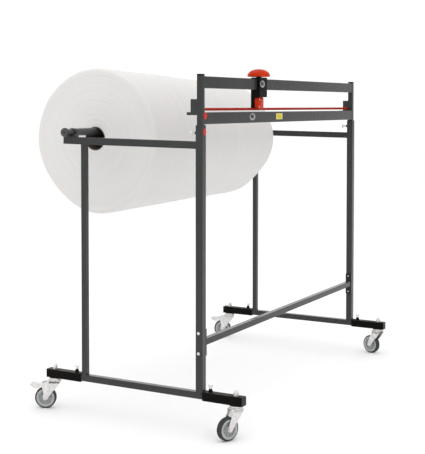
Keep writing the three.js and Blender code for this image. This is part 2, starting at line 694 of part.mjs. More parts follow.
function filmRoll() {
  const bore = CORE_R + GAP;
  const length = ROLL_RIGHT_X - ROLL_LEFT_X;
  const edge = 14;
  const profile = [
    [bore, 0], [ROLL_LEFT_R - edge, 0], [ROLL_LEFT_R - 4, 4], [ROLL_LEFT_R, edge],
    [ROLL_RIGHT_R, length - edge], [ROLL_RIGHT_R - 4, length - 4], [ROLL_RIGHT_R - edge, length],
    [bore, length], [bore, 0],
  ];
  const soft = sagged(alongX(turned(profile, 72)), bore, length);
  return soft.translate(ROLL_LEFT_X, AXLE_Y, ROLL_Z);
}

// ---- assembly -----------------------------------------------------------------------------------
for (const [side, sideName] of [[-1, 'left'], [1, 'right']]) {
  const x = side * HALF_WIDTH;
  add(`${sideName}_bottom_rail`, bottomRail(x), anthracite);
  add(`${sideName}_rear_post`, rearPost(x), anthracite);
  add(`${sideName}_front_post`, frontPost(x), anthracite);
  add(`${sideName}_roll_arm`, rollArm(x), anthracite);
  for (const [end, endName] of [[-1, 'front'], [1, 'rear']]) {
    const corner = `${sideName}_${endName}`;
    add(`${corner}_castor_sleeve`, castorSleeve(x, end), satinBlack);
    add(`${corner}_sleeve_cap`, sleeveCap(x, end), blackPlastic);
    add(`${corner}_sleeve_wing_screw`, sleeveScrew(x, end), zinc);
    add(`${corner}_castor_fork`, castorFork(side, end), zinc);
    add(`${corner}_castor_tyre`, tyre(side, end), tyreRubber);
    add(`${corner}_castor_rim`, rim(side, end), rimGrey);
  }
  add(`${sideName}_brake_pedal`, brakePedal(side), zinc);
  add(`${sideName}_upper_flange_bolt`, stretcherBolt(side, 1), zinc);
  add(`${sideName}_lower_flange_bolt`, stretcherBolt(side, -1), zinc);
  add(`${sideName}_inner_post`, innerPost(x), anthracite);
  add(`${sideName}_post_cap`, postCap(x), blackPlastic);
  add(`${sideName}_strip_bracket`, stripBracket(x), anthracite);
  add(`${sideName}_height_wing_screw`, heightScrew(x), zinc);
  add(`${sideName}_axle_end`, axleEnd(side), axleSteel);
}
add('stretcher', stretcher(), anthracite);
add('upper_crossbar', crossbar(UPPER_CROSSBAR_Z), anthracite);
add('lower_crossbar', crossbar(LOWER_CROSSBAR_Z), anthracite);
add('cutting_strip', cuttingStrip(), redStrip);
add('carriage_body', carriageBody(), satinBlack);
add('carriage_knob', palmKnob(), redPlastic);
add('blade_housing', bladeHousing(), redPlastic);
add('cutter_blade', blade(), bladeSteel);
add('axle_tube', axleTube(), axleSteel);
add('roll_core', rollCore(), cardboard);
add('film_roll', filmRoll(), film);

export default group;
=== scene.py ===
import json
import math

import bmesh
import bpy
from mathutils import Matrix, Vector, noise


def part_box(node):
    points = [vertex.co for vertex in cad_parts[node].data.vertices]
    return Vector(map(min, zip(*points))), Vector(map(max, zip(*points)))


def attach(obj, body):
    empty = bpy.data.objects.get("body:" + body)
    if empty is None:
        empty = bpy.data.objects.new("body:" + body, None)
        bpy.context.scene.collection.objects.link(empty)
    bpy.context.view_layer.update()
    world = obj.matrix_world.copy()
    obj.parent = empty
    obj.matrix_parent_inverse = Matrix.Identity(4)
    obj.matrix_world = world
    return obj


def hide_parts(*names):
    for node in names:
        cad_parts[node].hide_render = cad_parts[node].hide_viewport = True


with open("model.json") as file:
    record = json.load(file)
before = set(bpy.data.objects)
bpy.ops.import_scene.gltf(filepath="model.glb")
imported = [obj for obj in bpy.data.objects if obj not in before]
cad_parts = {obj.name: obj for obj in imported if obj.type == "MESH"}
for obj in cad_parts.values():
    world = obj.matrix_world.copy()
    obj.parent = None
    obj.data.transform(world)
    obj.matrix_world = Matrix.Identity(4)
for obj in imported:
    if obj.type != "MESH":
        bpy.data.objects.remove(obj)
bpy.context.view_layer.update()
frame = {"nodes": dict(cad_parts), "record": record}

SIDES = ("left", "right")
CORNERS = ("left_front", "left_rear", "right_front", "right_rear")
BODY_OF = {
    node: body
    for body, members in frame["record"]["behaviour"]["bodies"].items()
    for node in members
}
JOINTS = {joint["name"]: joint for joint in frame["record"]["behaviour"]["joints"]}
SLOT_OF = {row["node"]: row["material_slot"] for row in frame["record"]["subparts"]}


def centre(node):
    low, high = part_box(node)
    return (low + high) / 2


# ---- camera --------------------------------------------------------------------------------------
CAMERA_AT = (-4.8355, -2.6141, 1.4161)
CAMERA_AZIMUTH = -60.833
CAMERA_ELEVATION = 2.2
CAMERA_LENS = 83.79
CAMERA_SHIFT = (0.0238, -0.178)


def make_camera():
    data = bpy.data.cameras.new("camera")
    data.sensor_width = 36.0
    data.lens = CAMERA_LENS
    data.shift_x, data.shift_y = CAMERA_SHIFT
    data.clip_start, data.clip_end = 0.05, 200.0
    camera = bpy.data.objects.new("camera", data)
    bpy.context.scene.collection.objects.link(camera)
    a, e = math.radians(CAMERA_AZIMUTH), math.radians(CAMERA_ELEVATION)
    back = Vector((math.sin(a) * math.cos(e), -math.cos(a) * math.cos(e), math.sin(e)))
    camera.location = CAMERA_AT
    camera.rotation_mode = "QUATERNION"
    camera.rotation_quaternion = (-back).to_track_quat("-Z", "Y")
    bpy.context.scene.camera = camera


# ---- node materials ------------------------------------------------------------------------------
class Paint:
    """A Principled material with small helpers for its procedural inputs."""

    def __init__(self, name, roughness=0.5, metallic=0.0, **sockets):
        self.material = bpy.data.materials.new(name)
        self.material.use_nodes = True
        self.tree = self.material.node_tree
        self.shader = self.tree.nodes["Principled BSDF"]
        self.shader.inputs["Roughness"].default_value = roughness
        self.shader.inputs["Metallic"].default_value = metallic
        for socket, value in sockets.items():
            self.shader.inputs[socket.replace("_", " ")].default_value = value
        self.coords = self.add("ShaderNodeTexCoord").outputs["Object"]
        self.normal = None

    def add(self, kind, **settings):
        node = self.tree.nodes.new(kind)
        for key, value in settings.items():
            setattr(node, key, value)
        return node

    def link(self, source, target):
        self.tree.links.new(source, target)

    def mapped(self, scale=(1, 1, 1), offset=(0, 0, 0)):
        node = self.add("ShaderNodeMapping")
        node.inputs["Location"].default_value = offset
        node.inputs["Scale"].default_value = scale
        self.link(self.coords, node.inputs["Vector"])
        return node.outputs["Vector"]

    def noise(self, scale, detail=3.0, rough=0.55, vector=None, distortion=0.0):
        node = self.add("ShaderNodeTexNoise")
        node.inputs["Scale"].default_value = scale
        node.inputs["Detail"].default_value = detail
        node.inputs["Roughness"].default_value = rough
        node.inputs["Distortion"].default_value = distortion
        self.link(vector or self.coords, node.inputs["Vector"])
        return node.outputs["Fac"]

    def ranged(self, value, low, high, to_low=0.0, to_high=1.0):
        node = self.add("ShaderNodeMapRange")
        for key, number in zip(("From Min", "From Max", "To Min", "To Max"), (low, high, to_low, to_high)):
            node.inputs[key].default_value = number
        self.link(value, node.inputs["Value"])
        return node.outputs["Result"]

    def math(self, operation, a, b=0.0):
        node = self.add("ShaderNodeMath", operation=operation)
        for socket, value in zip(node.inputs, (a, b)):
            if isinstance(value, (int, float)):
                socket.default_value = value
            else:
                self.link(value, socket)
        return node.outputs["Value"]

    def mix(self, factor, a, b):
        node = self.add("ShaderNodeMix", data_type="RGBA")
        for socket, value in ((node.inputs[0], factor), (node.inputs[6], a), (node.inputs[7], b)):
            if isinstance(value, (int, float)):
                socket.default_value = value
            elif isinstance(value, tuple):
                socket.default_value = (*value, 1.0)
            else:
                self.link(value, socket)
        return node.outputs[2]

    def edges(self, radius, low=0.01, high=0.12):
        """1 along convex and concave edges, 0 on flats."""
        bevel = self.add("ShaderNodeBevel", samples=4)
        bevel.inputs["Radius"].default_value = radius
        geometry = self.add("ShaderNodeNewGeometry")
        dot = self.add("ShaderNodeVectorMath", operation="DOT_PRODUCT")
        self.link(bevel.outputs["Normal"], dot.inputs[0])
        self.link(geometry.outputs["Normal"], dot.inputs[1])
        return self.ranged(self.math("SUBTRACT", 1.0, dot.outputs["Value"]), low, high)

    def upward(self, low=0.3, high=1.0):
        """1 on faces that look up, where dust settles; the stretcher's coat also uses it for a painted highlight on
        its top faces.
        """
        geometry = self.add("ShaderNodeNewGeometry")
        split = self.add("ShaderNodeSeparateXYZ")
        self.link(geometry.outputs["Normal"], split.inputs[0])
        return self.ranged(split.outputs["Z"], low, high)

    def bump(self, height, strength, distance):
        node = self.add("ShaderNodeBump")
        node.inputs["Strength"].default_value = strength
        node.inputs["Distance"].default_value = distance
        self.link(height, node.inputs["Height"])
        if self.normal:
            self.link(self.normal, node.inputs["Normal"])
        self.normal = node.outputs["Normal"]

    def done(self, colour, roughness=None):
        self.link(colour, self.shader.inputs["Base Color"])
        if roughness:
            self.link(roughness, self.shader.inputs["Roughness"])
        if self.normal:
            self.link(self.normal, self.shader.inputs["Normal"])
        return self.material


# Colours that lie on top of a finish, in linear RGB.
# Grey for the coat's top faces: dust, and on the stretcher also a painted highlight.
GREY_DUST_AND_TOP_HIGHLIGHT = (0.30, 0.29, 0.27)
PALE_DUST = (0.5, 0.48, 0.45)
RUBBER_SCUFF = (0.26, 0.25, 0.235)
BOARD_DARK = (0.060, 0.042, 0.028)
BOARD_LIGHT = (0.11, 0.080, 0.054)
FILM_TONE = (0.715, 0.702, 0.69)
FLOOR_TONES = ((0.955, 0.955, 0.955), (0.97, 0.97, 0.97))


def shade(colour, amount):
    return tuple(min(1.0, channel * amount) for channel in colour)


def powder_coat(name, colour, gloss=0.34, texture=0.2, sheen=0.06, coat=1.0, dusty=0.14):
    """Baked powder paint: orange-peel texture, faint clouding, rubbed edges and a little dust on top. On the
    stretcher the grey on top faces is strong enough to be a painted highlight as well as dust.
    """
    p = Paint(name, roughness=gloss, Specular_IOR_Level=sheen,
              Coat_Weight=coat, Coat_Roughness=0.18, Coat_IOR=1.31)
    clouds = p.ranged(p.noise(5.0, 4.0), 0.3, 0.7)
    tone = p.mix(clouds, shade(colour, 0.9), shade(colour, 1.12))
    specks = p.ranged(p.noise(900.0, 2.0), 0.58, 0.74)
    tone = p.mix(p.math("MULTIPLY", specks, 0.25), tone, shade(colour, 1.9))
    rub = p.math("MULTIPLY", p.edges(0.0016), p.ranged(p.noise(38.0, 5.0, 0.7), 0.45, 0.68, 0.08, 0.75))
    tone = p.mix(rub, tone, shade(colour, 2.4))
    # Grey on upward faces: dust, and with the stretcher's large dusty value also a painted highlight on its top
    # faces.
    dust = p.math("MULTIPLY", p.upward(), p.ranged(p.noise(14.0, 5.0, 0.65), 0.35, 0.75, 0.02, dusty))
    tone = p.mix(dust, tone, GREY_DUST_AND_TOP_HIGHLIGHT)
    p.bump(p.noise(620.0, 2.0), texture, 0.0003)
    p.bump(p.noise(95.0, 3.0), texture * 0.35, 0.0006)
    rough = p.ranged(p.noise(22.0, 4.0), 0.3, 0.7, gloss - 0.07, gloss + 0.1)
    return p.done(tone, rough)


def plated_steel(name, colour, gloss, metallic=1.0):
    """Zinc-plated or bare steel: fine brushing, cloudy plating, dull spots."""
    p = Paint(name, roughness=gloss, metallic=metallic)
    clouds = p.ranged(p.noise(60.0, 4.0, 0.6), 0.32, 0.7)
    tone = p.mix(clouds, shade(colour, 0.78), shade(colour, 1.06))
    spots = p.ranged(p.noise(330.0, 3.0, 0.7), 0.62, 0.72)
    tone = p.mix(p.math("MULTIPLY", spots, 0.35), tone, shade(colour, 0.5))
    tone = p.mix(p.math("MULTIPLY", p.edges(0.0008), 0.45), tone, shade(colour, 1.35))
    p.bump(p.noise(1.0, 2.0, 0.6, p.mapped((260.0, 2600.0, 1500.0))), 0.12, 0.0001)
    p.bump(p.noise(180.0, 3.0), 0.12, 0.0003)
    rough = p.ranged(p.noise(75.0, 5.0, 0.65), 0.3, 0.72, gloss - 0.09, gloss + 0.16)
    return p.done(tone, rough)


def moulded_plastic(name, colour, gloss, grain=0.15, worn=1.6, sheen=0.3, dusty=0.12):
    """Injection-moulded plastic: spark grain, flow clouding, lighter rubbed edges."""
    p = Paint(name, roughness=gloss, Specular_IOR_Level=sheen)
    clouds = p.ranged(p.noise(24.0, 3.0), 0.3, 0.72)
    tone = p.mix(clouds, shade(colour, 0.88), shade(colour, 1.1))
    rub = p.math("MULTIPLY", p.edges(0.0012), p.ranged(p.noise(70.0, 4.0, 0.7), 0.4, 0.7, 0.05, 0.6))
    tone = p.mix(rub, tone, shade(colour, worn))
    dust = p.math("MULTIPLY", p.upward(), p.ranged(p.noise(40.0, 5.0, 0.65), 0.4, 0.8, 0.0, dusty))
    tone = p.mix(dust, tone, PALE_DUST)
    p.bump(p.noise(1400.0, 2.0), grain, 0.00015)
    p.bump(p.noise(60.0, 2.0), grain * 0.3, 0.0006)
    rough = p.ranged(p.noise(90.0, 4.0, 0.6), 0.3, 0.7, gloss - 0.06, gloss + 0.1)
    return p.done(tone, rough)


def tread_rubber(name, colour):
    """Grey non-marking rubber with a scuffed, dusty running face."""
    p = Paint(name, roughness=0.72, Specular_IOR_Level=0.25)
    clouds = p.ranged(p.noise(45.0, 4.0, 0.6), 0.3, 0.7)
    tone = p.mix(clouds, shade(colour, 0.8), shade(colour, 1.15))
    scuffs = p.ranged(p.noise(240.0, 5.0, 0.75), 0.55, 0.72)
    tone = p.mix(p.math("MULTIPLY", scuffs, 0.3), tone, RUBBER_SCUFF)
    p.bump(p.noise(850.0, 3.0, 0.6), 0.3, 0.0003)
    p.bump(p.noise(120.0, 4.0, 0.6), 0.25, 0.0006)
    rough = p.ranged(p.noise(130.0, 4.0), 0.3, 0.7, 0.62, 0.85)
    return p.done(tone, rough)


def core_board(name):
    """Spiral-wound grey-brown board."""
    p = Paint(name, roughness=0.85)
    fibre = p.ranged(p.noise(1.0, 4.0, 0.65, p.mapped((60.0, 700.0, 700.0))), 0.3, 0.7)
    tone = p.mix(fibre, BOARD_DARK, BOARD_LIGHT)
    p.bump(p.noise(420.0, 3.0), 0.3, 0.0004)
    return p.done(tone, p.ranged(fibre, 0.0, 1.0, 0.75, 0.92))


def film_wrap(name):
    """The outside of the wound film: soft bands from winding tension, fine slack wrinkles, a waxy sheen."""
    p = Paint(name, roughness=0.5, Specular_IOR_Level=0.3, Subsurface_Weight=0.1, Subsurface_Scale=0.02)
    bands = p.ranged(p.noise(1.0, 4.0, 0.6, p.mapped((22.0, 1.2, 1.2))), 0.3, 0.7)
    tone = p.mix(bands, shade(FILM_TONE, 0.975), shade(FILM_TONE, 1.01))
    clouds = p.ranged(p.noise(3.2, 4.0, 0.6), 0.35, 0.7)
    tone = p.mix(p.math("MULTIPLY", clouds, 0.3), tone, shade(FILM_TONE, 0.955))
    wrinkles = p.noise(1.0, 5.0, 0.62, p.mapped((46.0, 9.0, 9.0)), 0.6)
    p.bump(p.noise(1.0, 3.0, 0.5, p.mapped((9.0, 1.6, 1.6))), 0.2, 0.006)
    p.bump(wrinkles, 0.2, 0.0018)
    p.bump(p.noise(520.0, 2.0), 0.12, 0.0004)
    rough = p.ranged(wrinkles, 0.3, 0.7, 0.44, 0.6)
    return p.done(tone, rough)


def film_end(name, axis_at):
    """The edges of the wound layers: fine rings with uneven tone, from tight at the core to slack outside."""
    p = Paint(name, roughness=0.6, Subsurface_Weight=0.12, Subsurface_Scale=0.015)
    shifted = p.mapped((0.0, 1.0, 1.0), (0.0, -axis_at.y, -axis_at.z))
    radius = p.add("ShaderNodeVectorMath", operation="LENGTH")
    p.link(shifted, radius.inputs[0])
    ring = p.add("ShaderNodeCombineXYZ")
    p.link(radius.outputs["Value"], ring.inputs[0])
    wide = p.noise(34.0, 3.0, 0.6, ring.outputs["Vector"])
    fine = p.noise(420.0, 3.0, 0.7, ring.outputs["Vector"])
    patch = p.noise(6.0, 4.0, 0.6)
    tone = p.mix(p.ranged(wide, 0.32, 0.68), shade(FILM_TONE, 0.985), shade(FILM_TONE, 1.03))
    lines = p.math("MULTIPLY", p.ranged(fine, 0.5, 0.72), p.ranged(patch, 0.3, 0.7, 0.15, 0.5))
    tone = p.mix(lines, tone, shade(FILM_TONE, 0.9))
    p.bump(fine, 0.22, 0.0010)
    p.bump(p.noise(9.0, 3.0), 0.2, 0.004)
    return p.done(tone, p.ranged(fine, 0.3, 0.7, 0.5, 0.72))


def printed_foil(name, colour, gloss, metallic, coat=0.15):
    """A stuck-on plate or label: faint print mottling, small scratches and scuffed edges."""
    p = Paint(name, roughness=gloss, metallic=metallic, Specular_IOR_Level=0.3,
              Coat_Weight=coat, Coat_Roughness=0.2)
    mottle = p.ranged(p.noise(140.0, 4.0, 0.6), 0.3, 0.7)
    tone = p.mix(mottle, shade(colour, 0.93), shade(colour, 1.05))
    scratch = p.ranged(p.noise(1.0, 3.0, 0.7, p.mapped((90.0, 900.0, 1400.0))), 0.64, 0.74)
    tone = p.mix(p.math("MULTIPLY", scratch, 0.25), tone, shade(colour, 0.6))
    p.bump(p.noise(300.0, 2.0), 0.08, 0.0002)
    return p.done(tone, p.ranged(mottle, 0.0, 1.0, gloss - 0.05, gloss + 0.1))


def plain_floor(name):
    p = Paint(name, roughness=0.9, Specular_IOR_Level=0.0)
    return p.done(p.mix(p.ranged(p.noise(0.6, 2.0), 0.3, 0.7), *FLOOR_TONES))


COAT = powder_coat("anthracite_powder_coat", (0.030, 0.031, 0.031))
# The stretcher's coat is a darker copy of the anthracite coat: the darker base is painted shade, meant for its front
# face, and the strong grey on its top faces is a painted highlight.
STRETCHER_PAINTED_SHADE_AND_HIGHLIGHT_COAT = powder_coat("anthracite_stretcher_painted_shade_and_highlight", (0.015, 0.0155, 0.0155), coat=0.85, dusty=0.3)
BLACK_COAT = powder_coat("black_sleeve_coat", (0.0032, 0.0026, 0.0022), gloss=0.42, texture=0.12,
                         sheen=0.07, coat=0.0)
BLACK_PLASTIC = moulded_plastic("black_plastic", (0.004, 0.004, 0.004), 0.42, sheen=0.2)
ZINC = plated_steel("zinc_plate", (0.78, 0.765, 0.75), 0.34)
BOLT_STEEL = plated_steel("bright_bolt_steel", (0.78, 0.77, 0.75), 0.26)
DARK_STEEL = plated_steel("dark_axle_steel", (0.080, 0.081, 0.085), 0.36, metallic=0.6)
RING_STEEL = plated_steel("black_oxide_ring", (0.006, 0.006, 0.006), 0.42, metallic=0.3)
BLADE_STEEL = plated_steel("blade_steel", (0.72, 0.73, 0.75), 0.18)
RUBBER = tread_rubber("grey_tyre_rubber", (0.040, 0.040, 0.042))
RIM_GREY = moulded_plastic("grey_rim_plastic", (0.40, 0.415, 0.42), 0.45, grain=0.12, worn=1.3)
RED_PLASTIC = moulded_plastic("red_plastic", (0.50, 0.026, 0.002), 0.34, grain=0.06, worn=1.2,
                              sheen=0.10, dusty=0.01)
RED_STRIP = moulded_plastic("red_strip", (0.42, 0.019, 0.002), 0.42, grain=0.08, worn=1.2,
                            sheen=0.06, dusty=0.01)
CORE_BOARD = core_board("roll_core_board")


# ---- mesh helpers --------------------------------------------------------------------------------
def link_mesh(name, mesh, material, smooth_angle):
    piece = bpy.data.objects.new(name, mesh)
    bpy.context.scene.collection.objects.link(piece)
    mesh.materials.append(material)
    mesh.polygons.foreach_set("use_smooth", [True] * len(mesh.polygons))
    mesh.set_sharp_from_angle(angle=math.radians(smooth_angle))
    return piece


def settle(piece, body, *nodes, slot=None):
    """Puts a finished piece on its body, in place of the CAD nodes that it stands for."""
    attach(piece, body)
    if nodes:
        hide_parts(*nodes)


def revolve(bm, profile, segments, place):
    """Turns [radius, height] pairs about local Z into bm. A radius of 0 makes one point on the axis,
    and a profile that ends where it began makes a ring."""
    closed = profile[0] == profile[-1]
    rows = []
    for radius, height in profile[:-1] if closed else profile:
        if radius == 0:
            rows.append([bm.verts.new(place @ Vector((0, 0, height)))])
            continue
        row = []
        for i in range(segments):
            a = 2 * math.pi * i / segments
            row.append(bm.verts.new(place @ Vector((radius * math.cos(a), radius * math.sin(a), height))))
        rows.append(row)
    for low, high in zip(rows, rows[1:] + (rows[:1] if closed else [])):
        for i in range(segments):
            j = (i + 1) % segments
            if len(low) == 1 and len(high) == 1:
                continue
            if len(low) == 1:
                bm.faces.new((low[0], high[j], high[i]))
            elif len(high) == 1:
                bm.faces.new((low[i], low[j], high[0]))
            else:
                bm.faces.new((low[i], low[j], high[j], high[i]))


PRISM_SHARP = 50.0
CAD_SHARP = 40.0


def round_edges(bm, radius, segments, sharper_than):
    """Rounds the edges whose faces meet at more than this many degrees."""
    edges = [e for e in bm.edges if len(e.link_faces) == 2 and e.calc_face_angle(0) > math.radians(sharper_than)]
    bmesh.ops.bevel(bm, geom=edges, offset=radius, segments=segments, profile=0.5, affect="EDGES",
                    clamp_overlap=True)


def prism(bm, outline, depth, place, bevel, segments=2):
    """A flat outline in local XY, thickened along local Z about its middle, with rounded edges."""
    part = bmesh.new()
    face = part.faces.new([part.verts.new((x, y, -depth / 2)) for x, y in outline])
    out = bmesh.ops.extrude_face_region(part, geom=[face])
    moved = [v for v in out["geom"] if isinstance(v, bmesh.types.BMVert)]
    bmesh.ops.translate(part, verts=moved, vec=(0, 0, depth))
    bmesh.ops.recalc_face_normals(part, faces=part.faces)
    round_edges(part, bevel, segments, PRISM_SHARP)
    part.transform(place)
    mesh = bpy.data.meshes.new("part")
    part.to_mesh(mesh)
    part.free()
    bm.from_mesh(mesh)
    bpy.data.meshes.remove(mesh)


def finish_mesh(bm, name, material, smooth_angle, recalc=True):
    if recalc:
        bmesh.ops.recalc_face_normals(bm, faces=bm.faces)
    mesh = bpy.data.meshes.new(name)
    bm.to_mesh(mesh)
    bm.free()
    return link_mesh(name, mesh, material, smooth_angle)


ALONG_X = Matrix.Rotation(math.pi / 2, 4, "Y")
ALONG_Y = Matrix.Rotation(-math.pi / 2, 4, "X")
# Local X, Y, Z to world Y, Z, X: an outline drawn in Y and Z, thickened along X.
SIDE_ON = Matrix(((0, 0, 1, 0), (1, 0, 0, 0), (0, 1, 0, 0), (0, 0, 0, 1)))
# Local X, Y, Z to world X, Z, -Y: an outline drawn in X and Z, thickened along Y.
FRONT_ON = Matrix(((1, 0, 0, 0), (0, 0, -1, 0), (0, 1, 0, 0), (0, 0, 0, 1)))


def arc(cx, cy, radius, start, end, steps):
    """Points on part of a circle, between two angles in degrees."""
    return [
        (cx + radius * math.cos(math.radians(start + (end - start) * i / steps)),
         cy + radius * math.sin(math.radians(start + (end - start) * i / steps)))
        for i in range(steps + 1)
    ]


def rounded(width, height, radius, steps=5):
    """A rectangle's outline with round corners."""
    w, h = width / 2 - radius, height / 2 - radius
    return (arc(w, -h, radius, -90, 0, steps) + arc(w, h, radius, 0, 90, steps)
            + arc(-w, h, radius, 90, 180, steps) + arc(-w, -h, radius, 180, 270, steps))


def refined(node, material, bevel=0.0007, segments=2):
    """The CAD shape with its real small radii: coplanar faces merged, sharp edges rounded."""
    bm = bmesh.new()
    bm.from_mesh(frame["nodes"][node].data)
    bmesh.ops.remove_doubles(bm, verts=bm.verts, dist=2e-5)
    bmesh.ops.dissolve_limit(bm, angle_limit=math.radians(0.6), verts=bm.verts, edges=bm.edges)
    round_edges(bm, bevel, segments, CAD_SHARP)
    piece = finish_mesh(bm, node + "_finished", material, 34.0, recalc=False)
    piece.modifiers.new("weighted_normals", "WEIGHTED_NORMAL").keep_sharp = True
    settle(piece, BODY_OF[node], node)


# ---- frame tubes ---------------------------------------------------------------------------------
def frame_parts():
    for side in SIDES:
        for part in ("bottom_rail", "rear_post", "front_post", "roll_arm", "inner_post", "strip_bracket"):
            refined(f"{side}_{part}", COAT)
        refined(f"{side}_post_cap", BLACK_PLASTIC, 0.0012, 3)
        for level in ("upper", "lower"):
            refined(f"{side}_{level}_flange_bolt", BOLT_STEEL, 0.0006)
    # This coat holds painted shade for the stretcher's front and a painted highlight on its top.
    refined("stretcher", STRETCHER_PAINTED_SHADE_AND_HIGHLIGHT_COAT)
    refined("upper_crossbar", COAT)
    refined("lower_crossbar", COAT)
    refined("cutting_strip", RED_STRIP, 0.0004)
    for corner in CORNERS:
        refined(f"{corner}_castor_sleeve", BLACK_COAT, 0.0008)
        refined(f"{corner}_sleeve_cap", BLACK_PLASTIC, 0.0014, 3)
    refined("axle_tube", DARK_STEEL, 0.0006)
    refined("roll_core", CORE_BOARD, 0.0005)
    refined("carriage_body", BLACK_COAT, 0.0022, 3)
    refined("cutter_blade", BLADE_STEEL, 0.0002, 1)


# ---- film roll -----------------------------------------------------------------------------------
ROLL_AROUND = 224
ROLL_ALONG = 110
ROLL_RINGS = 84
ROLL_EDGE_STEPS = 5
ROLL_LEFT_R = 0.344
ROLL_RIGHT_R = 0.317
ROLL_LEFT_DROP = 0.008
ROLL_RIGHT_DROP = 0.029
ROLL_OVAL = 1.006
ROLL_SAG_FROM_CORE = 0.16
ROLL_BORE = 0.0563
ROLL_EDGE = 0.018
ROLL_UNDER = 0.002
# How far the winding stands proud or falls short: slow swells, bands along the roll, and short slack patches.
ROLL_SWELL = 0.0040
ROLL_BANDS = 0.0012
ROLL_PATCHES = 0.0011
# Relief of the end faces: single layers, drift of whole turns, and the dish between core and edge.
END_LAYER = 0.0013
END_DRIFT = 0.0035
END_INSET = 0.0015
END_DISH = 0.0030
# Slack in the wound layers: angle from the rear over the top, width, and swell at the left and right ends.
ROLL_SLACK = ((-45, 26, -0.013, -0.006), (-92, 24, 0.009, 0.004), (-137, 22, 0.0, -0.010), (178, 28, 0.002, 0.016))


def film_roll():
    """The wound film: two dished end faces, a rounded edge at each end, and the side between them.
    t runs from 0 at the left end to 1 at the right end, and a is the angle from the rear over the top."""
    low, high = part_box("film_roll")
    axis_at = centre("roll_core")
    length = high.x - low.x
    angles = [2 * math.pi * i / ROLL_AROUND for i in range(ROLL_AROUND)]

    def outer(t, a):
        y, z = math.cos(a), math.sin(a)
        swell = noise.noise(Vector((t * 2.6, y * 1.3, z * 1.3))) * ROLL_SWELL
        bands = noise.noise(Vector((t * 17.0, 3.1, 0.4))) * ROLL_BANDS
        slack = noise.noise(Vector((t * 34.0, y * 3.5, z * 3.5 + 7.0))) * ROLL_PATCHES
        for angle, width, left_swell, right_swell in ROLL_SLACK:
            off = (math.degrees(a) - angle + 180.0) % 360.0 - 180.0
            slack += (left_swell + (right_swell - left_swell) * t) * math.exp(-(off / width) ** 2)
        return ROLL_LEFT_R + (ROLL_RIGHT_R - ROLL_LEFT_R) * t - ROLL_UNDER + swell + bands + slack

    def point(x, r, a):
        """The layers hang on the core: the outside is lower than the core and a little oval."""
        t = (x - low.x) / length
        loose = min(1.0, (r - ROLL_BORE) / ROLL_SAG_FROM_CORE)
        drop = (ROLL_LEFT_DROP + (ROLL_RIGHT_DROP - ROLL_LEFT_DROP) * t) * loose
        wide = 1.0 + (ROLL_OVAL - 1.0) * loose
        return (x, axis_at.y + r * math.cos(a) * wide, axis_at.z + r * math.sin(a) - drop)

    def end_face(t, inward, x_face):
        """Rows from the bore out to where the rounded edge begins."""
        face = []
        for k in range(ROLL_RINGS + 1):
            f = k / ROLL_RINGS
            layer = noise.noise(Vector((f * 61.0, 0.3 + t * 9.0, 0.0))) * END_LAYER
            dish = END_INSET + END_DISH * f * (1.0 - f)
            row = []
            for a in angles:
                r = ROLL_BORE + (outer(t, a) - ROLL_EDGE - ROLL_BORE) * f
                drift = noise.noise(Vector((f * 3.0, math.cos(a) * 0.8, math.sin(a) * 0.8 + t * 5.0))) * END_DRIFT
                row.append(point(x_face + inward * (dish + layer + drift * f), r, a))
            face.append(row)
        return face

    def rounded_edge(t, inward, face):
        """Rows from the end face round to the side."""
        edge = []
        for k in range(1, ROLL_EDGE_STEPS + 1):
            c = math.radians(90.0 * k / ROLL_EDGE_STEPS)
            along, out = ROLL_EDGE * (1 - math.cos(c)), ROLL_EDGE * math.sin(c)
            edge.append([point(x + inward * along, outer(t, a) - ROLL_EDGE + out, a)
                         for (x, _, _), a in zip(face[-1], angles)])
        return edge

    left = end_face(0.0, 1.0, low.x)
    right = end_face(1.0, -1.0, high.x)
    side_from = low.x + ROLL_EDGE * 1.4
    side_length = length - ROLL_EDGE * 2.8
    side = []
    for k in range(1, ROLL_ALONG):
        t = k / ROLL_ALONG
        side.append([point(side_from + side_length * t, outer(t, a), a) for a in angles])
    rows = left + rounded_edge(0.0, 1.0, left) + side + rounded_edge(1.0, -1.0, right)[::-1] + right[::-1]

    faces, material_of = [], []
    count, n = len(rows), ROLL_AROUND
    for k in range(count):
        k2 = (k + 1) % count
        on_end = k < ROLL_RINGS or count - 1 - ROLL_RINGS <= k < count - 1
        for i in range(n):
            j = (i + 1) % n
            faces.append((k * n + i, k2 * n + i, k2 * n + j, k * n + j))
            material_of.append(1 if on_end else 0)
    mesh = bpy.data.meshes.new("film_roll_wound")
    mesh.from_pydata([v for row in rows for v in row], [], faces)
    mesh.validate()
    bm = bmesh.new()
    bm.from_mesh(mesh)
    bmesh.ops.recalc_face_normals(bm, faces=bm.faces)
    bm.to_mesh(mesh)
    bm.free()
    piece = link_mesh("film_roll_wound", mesh, film_wrap("film_wrap"), 70.0)
    mesh.materials.append(film_end("film_layer_edges", axis_at))
    mesh.polygons.foreach_set("material_index", material_of)
    settle(piece, BODY_OF["film_roll"], "film_roll")


# ---- castors -------------------------------------------------------------------------------------
# Shapes are in metres. A castor's own frame has the stem's axis as Z, the floor as 0 and +Y toward the wheel.
TRAIL = 0.046
WHEEL_R = 0.050
PIVOT_OUT = 0.060
PIVOT_UP = 0.114
FORK_INSIDE = 0.019
FORK_SHEET = 0.003
FORK_OUTSIDE = FORK_INSIDE + FORK_SHEET
CHEEK_TOP = 0.1335
CROWN_TOP = 0.1345
CROWN_UNDER = 0.1315
CROWN_SKIRT = 0.118
CROWN_LENGTH = 0.052
TYRE_HALF = 0.015
TYRE_BORE = 0.0372
TYRE_RECESS = 0.003
TYRE_SHOULDER = 0.0076
RIM_RIBS = 10
THREAD_PITCH = 0.00125


